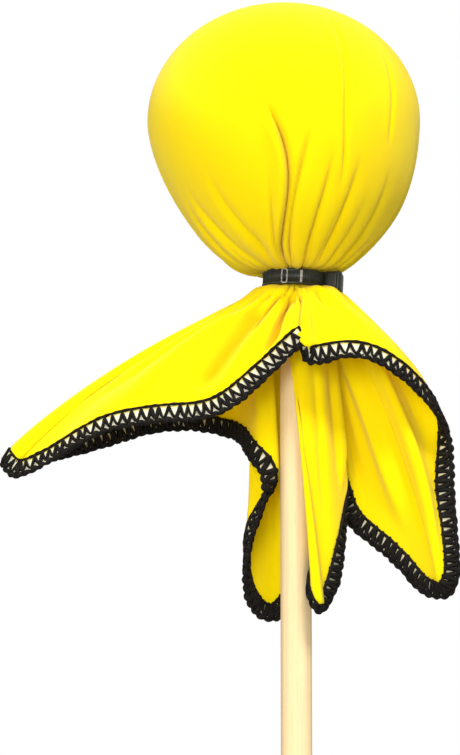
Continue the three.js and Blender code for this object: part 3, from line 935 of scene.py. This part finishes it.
def tie_piece(finish, painted_highlight):
    """Strap, locking head with its slot lips and trimmed tail, and the strap's small raised
    frame and bar, tilted a little and set at the tie's height. The frame and bar take a
    second material, a pale grey painted highlight."""
    face = STRAP_INNER + STRAP_THICKNESS
    middle = LOCK_SIZE[0] / 2 - LOCK_SINK
    side = LOCK_SIZE[1] / 2
    lock = block_shape(LOCK_SIZE, np.array([middle, 0, 0]), 0.16)
    lip = block_shape(LIP_SIZE, np.array([middle + 0.2 * MM, side, 0]), 0.2)
    front_lip = block_shape(FRONT_LIP_SIZE, np.array([middle + 0.2 * MM, -side, 0]), 0.2)
    tail = block_shape(TAIL_SIZE, np.array([middle + 0.4 * MM, side + 1.4 * MM, 0]), 0.12)
    bar = block_shape(MARK_BAR_SIZE, np.array([0.05 * MM, 0, 0]), 0.3, 24, 13)
    marks = [
        wrapped(frame_shape(*MARK_FRAME_SIZE), MARK_FRAME_BEARING, face),
        wrapped(bar, MARK_BAR_BEARING, face),
    ]
    locks = [wrapped(shape, LOCK_BEARING, face) for shape in (lock, lip, front_lip, tail)]
    vertices, faces = joined(strap_shape(), *locks, *marks)
    vertices = turned_about_front(vertices, STRAP_TILT) + np.array([0, 0, TIE_HEIGHT])
    piece = piece_from("nylon_cable_tie", vertices, faces, finish)
    # The raised frame and bar take the second material slot: a pale grey painted highlight.
    piece.data.materials.append(painted_highlight)
    marked = sum(len(corners) for _, corners in marks)
    slots = np.arange(len(faces)) >= len(faces) - marked
    piece.data.polygons.foreach_set("material_index", slots.astype(np.int32))
    return piece


# ---- Dowel, wadding and floor ---------------------------------------------------------------

DOWEL_SIDES = 128
DOWEL_ROWS = 60
END_EASE = 0.7 * MM
PLANED_DEPTH = 0.02 * MM
WADDING_BOTTOM = 7.0 * MM
WADDING_MOUTH = (15 * MM, 11 * MM, 7 * MM)
WADDING_BELOW_CLOTH = 1.1 * MM
WADDING_LUMPS = 0.6 * MM
BORE_RADIUS = 5.3 * MM
CORE_GAP = 0.4 * MM
FLOOR_HALF = 0.3


def capped_turning(name, points, finish):
    """A closed piece from a grid of rings whose first ring is closed at its top middle and
    whose last ring at its bottom middle."""
    poles = np.stack([points[0].mean(0), points[-1].mean(0)])
    vertices = np.concatenate([points.reshape(-1, 3), poles])
    return piece_from(name, vertices, capped_faces(*points.shape[:2]), finish)


def dowel_piece(finish):
    """The dowel: a cylinder with eased ends, whose radius varies by a few hundredths of a
    millimetre with long flats left by the planing."""
    ease = np.linspace(0, math.pi / 2, 6)
    rounded = DOWEL_RADIUS - END_EASE + END_EASE * np.sin(ease)
    top = np.stack([rounded, DOWEL_HIGH[2] - END_EASE * (1 - np.cos(ease))], -1)
    low = top[::-1] * [1, -1] + [0, DOWEL_HIGH[2] + DOWEL_LOW[2]]
    heights = np.linspace(top[-1, 1], low[0, 1], DOWEL_ROWS)[1:-1]
    straight = np.stack([np.full(len(heights), DOWEL_RADIUS), heights], -1)
    inset = [[DOWEL_RADIUS * 0.5, DOWEL_HIGH[2]]]
    inset_low = [[DOWEL_RADIUS * 0.5, DOWEL_LOW[2]]]
    profile = np.concatenate([inset, top, straight, low, inset_low])
    angle = np.arange(DOWEL_SIDES) * 2 * math.pi / DOWEL_SIDES
    radius, height = profile[:, :1], profile[:, 1:]
    flats = np.sin(5 * angle + 9 * height) + np.sin(9 * angle + 1.3 - 14 * height) - 1.5
    across = radius + PLANED_DEPTH * flats * (radius > DOWEL_RADIUS * 0.7)
    return capped_turning("birch_dowel", turned(across, angle, height), finish)


def wadding_piece(skirt, finish):
    """The wadding between the foam ball and the cloth: a thick shell that follows the
    cloth's creases a little below them, with soft lumps, open underneath for the dowel."""
    cloth = cloth_rows(skirt)[0][:HEAD_ROWS, ::2]
    columns = cloth.shape[1]
    outer = cloth[cloth[:, 0, 2] > TIE_HEIGHT + WADDING_BOTTOM + 2 * MM]
    across = np.arange(columns) * 2 * math.pi / columns
    down = np.linspace(0, math.pi, len(outer))[:, None]
    lumps = np.sin(5 * across + 3 * np.sin(3 * down)) * np.sin(7 * down) + np.sin(9 * across - 11 * down)
    lumps = WADDING_LUMPS * (0.5 - 0.25 * lumps) * np.sin(down)
    middle = np.stack([lean_at(outer[:, :, 2] - TIE_HEIGHT), 0 * outer[:, :, 0]], -1)
    spread = outer[:, :, :2] - middle
    radius = np.linalg.norm(spread, axis=2)
    deepest = np.min([np.roll(radius, step, 1) for step in range(-4, 5)], axis=0)
    outer = outer.copy()
    outer[:, :, :2] = middle + spread * (deepest / radius)[:, :, None]
    outer = outer - grid_normals(outer) * (WADDING_BELOW_CLOTH + lumps)[:, :, None]

    def ring(radius, height):
        """One level ring of the wadding's inner side."""
        return turned(radius, across - math.pi / 2, np.full(columns, height))

    hollow = CORE_RADIUS + CORE_GAP
    meet = math.asin(BORE_RADIUS / hollow)
    bottom = TIE_HEIGHT + WADDING_BOTTOM
    bore = np.linspace(bottom + 0.5 * MM, CORE_MIDDLE - hollow * math.cos(meet), 8)
    turns = np.linspace(meet, math.pi - 0.03, 34)[1:]
    rings = [ring(radius, bottom) for radius in WADDING_MOUTH]
    rings += [ring(BORE_RADIUS, height) for height in bore]
    rings += [ring(hollow * math.sin(turn), CORE_MIDDLE - hollow * math.cos(turn)) for turn in turns]
    return capped_turning("head_wadding_layer", np.concatenate([outer, np.array(rings)]), finish)


def floor_piece(finish):
    """A grey floor at the dowel's foot."""
    corners = np.array([[-1, -1, 0], [1, -1, 0], [1, 1, 0], [-1, 1, 0]]) * FLOOR_HALF
    return piece_from("grey_floor", corners, [(0, 1, 2, 3)], finish, smooth=False)


# ---- Camera and light -----------------------------------------------------------------------

LOOK_UP = math.radians(8)
CAMERA_DISTANCE = 0.9
FRAME_HEIGHT = 0.231
AIM = Vector((-0.020, 0, TIE_HEIGHT - 0.0298))
AMBIENT = (0.42, 0.62)
AMBIENT_RISE = (-0.6, 0.8)
SOFT_BOXES = [
    ("front_box", (0.3, -0.85, 1.3), 0.35, 18.0),
    ("fill_box", (-0.3, -1.4, 0.30), 0.6, 16.0),
    ("side_box", (-0.9, -0.8, 0.5), 0.5, 3.0),
]


def place_camera():
    """A long lens below the tie, looking up a little at the head and the skirt."""
    camera = bpy.data.objects.new("camera", bpy.data.cameras.new("camera"))
    bpy.context.scene.collection.objects.link(camera)
    way = Vector((0, math.cos(LOOK_UP), math.sin(LOOK_UP)))
    camera.location = AIM - way * CAMERA_DISTANCE
    camera.rotation_euler = way.to_track_quat("-Z", "Y").to_euler()
    camera.data.type = "PERSP"
    camera.data.sensor_fit = "VERTICAL"
    camera.data.angle = 2 * math.atan(FRAME_HEIGHT / 2 / CAMERA_DISTANCE)
    camera.data.clip_start = 0.01
    bpy.context.scene.camera = camera


def soft_light(name, place, size, watts):
    """A square soft box at a place, turned to the camera's aim."""
    data = bpy.data.lights.new(name, "AREA")
    data.shape = "SQUARE"
    data.size = size
    data.energy = watts
    light = bpy.data.objects.new(name, data)
    light.location = place
    light.rotation_euler = (AIM - Vector(place)).to_track_quat("-Z", "Y").to_euler()
    bpy.context.scene.collection.objects.link(light)


def light_studio():
    """A white backdrop with soft light that is weaker from below, a soft box high in front,
    a broader one level with the head and a weak one to the left."""
    world = bpy.data.worlds.new("studio")
    world.use_nodes = True
    tree = world.node_tree
    seen = tree.nodes["Background"]
    seen.inputs["Color"].default_value = (1, 1, 1, 1)
    seen.inputs["Strength"].default_value = 1.0
    lit = tree.nodes.new("ShaderNodeBackground")
    lit.inputs["Color"].default_value = (1, 1, 1, 1)
    place = tree.nodes.new("ShaderNodeTexCoord")
    split = tree.nodes.new("ShaderNodeSeparateXYZ")
    rise = tree.nodes.new("ShaderNodeMapRange")
    tree.links.new(place.outputs["Generated"], split.inputs[0])
    tree.links.new(split.outputs["Z"], rise.inputs["Value"])
    for socket, value in zip(("From Min", "From Max", "To Min", "To Max"), (*AMBIENT_RISE, *AMBIENT)):
        rise.inputs[socket].default_value = value
    tree.links.new(rise.outputs[0], lit.inputs["Strength"])
    path = tree.nodes.new("ShaderNodeLightPath")
    mix = tree.nodes.new("ShaderNodeMixShader")
    tree.links.new(path.outputs["Is Camera Ray"], mix.inputs[0])
    tree.links.new(lit.outputs[0], mix.inputs[1])
    tree.links.new(seen.outputs[0], mix.inputs[2])
    tree.links.new(mix.outputs[0], tree.nodes["World Output"].inputs["Surface"])
    bpy.context.scene.world = world
    for box in SOFT_BOXES:
        soft_light(*box)
    view = bpy.context.scene.view_settings
    view.view_transform = "Standard"
    view.look = "None"


# ---- Everything together --------------------------------------------------------------------


def build():
    """The stage, then every piece on its body, with the CAD nodes it stands for."""
    place_camera()
    light_studio()
    skirt = Skirt()
    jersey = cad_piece(cloth_piece(skirt, jersey_finish()), "cloth", "cloth_pouch", "cloth_skirt")
    threads = hem_threads(skirt, overlock_finish())
    upper, needle, edge, lower, chain = threads
    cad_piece(upper, "thread", "hem_upper_looper_thread")
    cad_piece(needle, "thread", "hem_needle_thread")
    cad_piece(edge, "thread")
    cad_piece(lower, "thread", "hem_lower_looper_thread")
    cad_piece(chain, "thread")
    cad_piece(tie_piece(tie_finish(), highlight_nylon_finish()), "tie", "cable_tie")
    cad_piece(dowel_piece(dowel_finish()), "wood", "wooden_dowel")
    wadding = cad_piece(wadding_piece(skirt, wadding_finish()), "wadding", "head_wadding")
    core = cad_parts["foam_core_ball"]
    core.data.materials.clear()
    core.data.materials.append(foam_finish())
    floor = floor_piece(floor_finish())


build()
